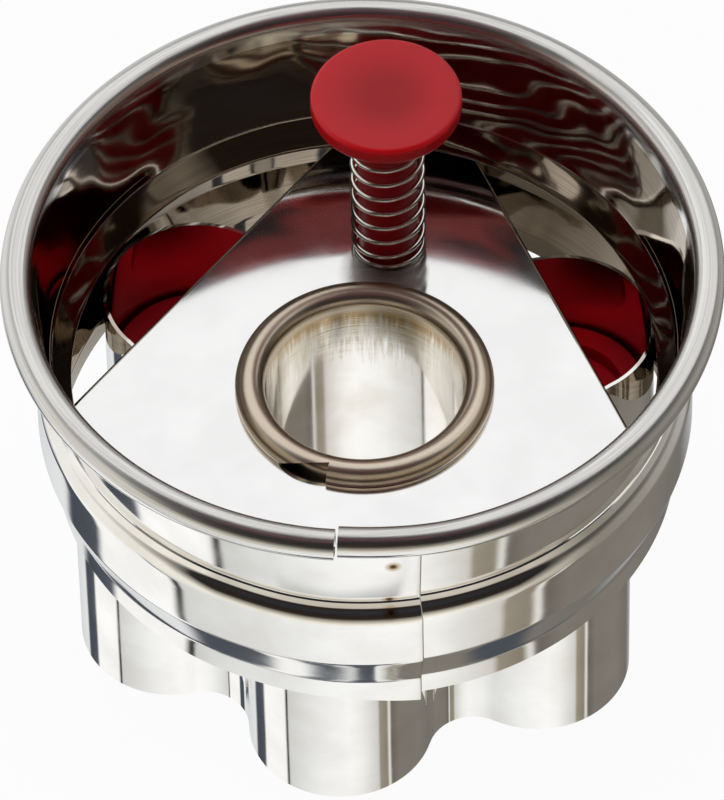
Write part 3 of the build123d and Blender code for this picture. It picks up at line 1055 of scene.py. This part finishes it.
def make_room():
    """World whose colour is worked out from the direction."""
    world = bpy.data.worlds.new("studio_tent")
    bpy.context.scene.world = world
    world.use_nodes = True
    tree = world.node_tree
    direction = add_node(tree, "ShaderNodeTexCoord").outputs["Generated"]
    to_camera = {"Rotation": (0.0, 0.0, -CAMERA_SIDE_ANGLE)}
    turned = add_node(tree, "ShaderNodeMapping", to_camera, {"Vector": direction}).outputs["Vector"]
    axes = add_node(tree, "ShaderNodeSeparateXYZ", None, {"Vector": turned}).outputs
    towards = add_node(tree, "ShaderNodeMath", {"operation": "MULTIPLY", 1: -1.0}, {0: axes["Y"]})
    sides = {0: axes["X"], 1: towards.outputs[0]}
    azimuth = add_node(tree, "ShaderNodeMath", {"operation": "ARCTAN2"}, sides).outputs[0]
    full_turn = {"From Min": -pi, "From Max": pi}
    share = add_node(tree, "ShaderNodeMapRange", full_turn, {"Value": azimuth}).outputs["Result"]
    by_angle = (TENT_FOOT, TENT_WALL, SKYLINE, CURTAIN_WIDTH, SHADED_GROUND)
    by_height = (ROOM_ABOVE, CURTAIN_RISE)
    lookups = [(ramp_stops(table, -180, 180), share) for table in by_angle]
    lookups += [(ramp_stops(table, 0, 1), axes["Z"]) for table in by_height]
    foot, wall, skyline, curtain, shaded, room, hung = [
        add_node(tree, "ShaderNodeValToRGB", {"stops": stops}, {"Fac": value}).outputs["Color"]
        for stops, value in lookups
    ]
    over = add_node(tree, "ShaderNodeMath", {"operation": "SUBTRACT"}, {0: axes["Z"], 1: skyline})
    up_wall, below, higher = [
        add_node(tree, "ShaderNodeMapRange", limits, {"Value": height}).outputs["Result"]
        for limits, height in (
            (WALL_FROM, axes["Z"]),
            (SHADED_BELOW, axes["Z"]),
            (OVER_SKYLINE, over.outputs[0]),
        )
    ]
    in_curtain, in_shade = [
        add_node(tree, "ShaderNodeMath", {"operation": "MULTIPLY"}, {0: first, 1: second}).outputs[0]
        for first, second in ((curtain, hung), (shaded, below))
    ]
    colour = {"data_type": "RGBA"}
    tent = add_node(tree, "ShaderNodeMix", colour, {0: up_wall, 6: foot, 7: wall})
    shade = colour | {7: linear(SHADED_GREY)}
    ground = add_node(tree, "ShaderNodeMix", shade, {0: in_shade, 6: tent.outputs[2]})
    red = colour | {7: linear(CURTAIN_RED)}
    room = add_node(tree, "ShaderNodeMix", red, {0: in_curtain, 6: room})
    layers = {0: higher, 6: ground.outputs[2], 7: room.outputs[2]}
    whole = add_node(tree, "ShaderNodeMix", colour, layers)
    background = tree.nodes["Background"].inputs
    tree.links.new(whole.outputs[2], background["Color"])
    background["Strength"].default_value = WORLD_STRENGTH
    print(world.name, "nodes:", len(tree.nodes))


make_room()

# %% [markdown]
# ## Lamps
# A large panel above and behind lies where the flat plate reflects the camera's view, and turns the
# plate white. Only reflections see it. A smaller lamp above lights what isn't a mirror, the red plastic
# and the paper. Reflections don't see that one, so it puts no hot spots on the metal.

# %% Lamps
LAMPS_AIM = (0.0, 0.0, 0.03)
PANEL_SIZE = (1.4, 0.9)
PANEL_PLACE = (0.0, 0.4, 0.65)
PANEL_LEVEL = 1.0
KEY_SIZE = (0.4, 0.4)
KEY_PLACE = (-0.05, 0.0, 0.7)
KEY_LEVEL = 5.0


def add_panel(name, size, place, level):
    """Soft light panel whose face has a given brightness, where 1 is white."""
    lamp = bpy.data.lights.new(name, "AREA")
    lamp.shape = "RECTANGLE"
    lamp.size, lamp.size_y = size
    lamp.energy = level * pi * size[0] * size[1]
    panel = bpy.data.objects.new(name, lamp)
    panel.location = place
    panel.rotation_euler = (Vector(LAMPS_AIM) - Vector(place)).to_track_quat("-Z", "Y").to_euler()
    bpy.context.scene.collection.objects.link(panel)
    print(name, "gives", round(lamp.energy, 2), "W")
    return panel


panel = add_panel("panel_above", PANEL_SIZE, PANEL_PLACE, PANEL_LEVEL)
panel.visible_diffuse = False
key = add_panel("key_above_left", KEY_SIZE, KEY_PLACE, KEY_LEVEL)
key.visible_glossy = False

# %% [markdown]
# ## Camera
# A long lens looks down at the rim from the front, a little from the right of the plunger. Its focal
# length is given in picture pixels and turned to millimetres. It is about 1% shorter than the one that
# was fitted to the rim's outline, so that nearly all of the rim is in the picture.

# %% Camera
PICTURE_HEIGHT = 800
FOCAL_PIXELS = 9672
CAMERA_DISTANCE = 800.0
CAMERA_HEIGHT_ANGLE = radians(50.0)
CAMERA_ROLL = radians(1.3)
RIM_CENTRE_PIXEL = 273.0
AIM_PIXELS_LEFT = 3.0
SENSOR = 36.0

rim_centre = Vector((0, 0, collar_high[2] - RIM_ROLL / 2 * MM))
level_back = Vector((sin(CAMERA_SIDE_ANGLE), -cos(CAMERA_SIDE_ANGLE), 0))
back = level_back * cos(CAMERA_HEIGHT_ANGLE) + Vector((0, 0, sin(CAMERA_HEIGHT_ANGLE)))
picture_up = Vector((0, 0, cos(CAMERA_HEIGHT_ANGLE))) - level_back * sin(CAMERA_HEIGHT_ANGLE)
picture_left = Vector((-cos(CAMERA_SIDE_ANGLE), -sin(CAMERA_SIDE_ANGLE), 0))
lens = bpy.data.cameras.new("camera")
lens.sensor_fit = "VERTICAL"
lens.sensor_height = SENSOR
lens.lens = FOCAL_PIXELS * SENSOR / PICTURE_HEIGHT
lens.clip_start = 0.05
lens.clip_end = 20.0
camera = bpy.data.objects.new("camera", lens)
bpy.context.scene.collection.objects.link(camera)
bpy.context.scene.camera = camera
camera.location = rim_centre + back * CAMERA_DISTANCE * MM
pixel = CAMERA_DISTANCE * MM / FOCAL_PIXELS
drop = (PICTURE_HEIGHT / 2 - RIM_CENTRE_PIXEL) * pixel
aim = rim_centre - picture_up * drop + picture_left * AIM_PIXELS_LEFT * pixel
level_view = (aim - camera.location).to_track_quat("-Z", "Y").to_matrix()
camera.rotation_euler = (level_view @ Matrix.Rotation(-CAMERA_ROLL, 3, "Z")).to_euler()
bpy.context.scene.view_settings.view_transform = "Standard"
print("camera at", [round(v, 3) for v in camera.location], "lens:", round(lens.lens, 1), "mm")
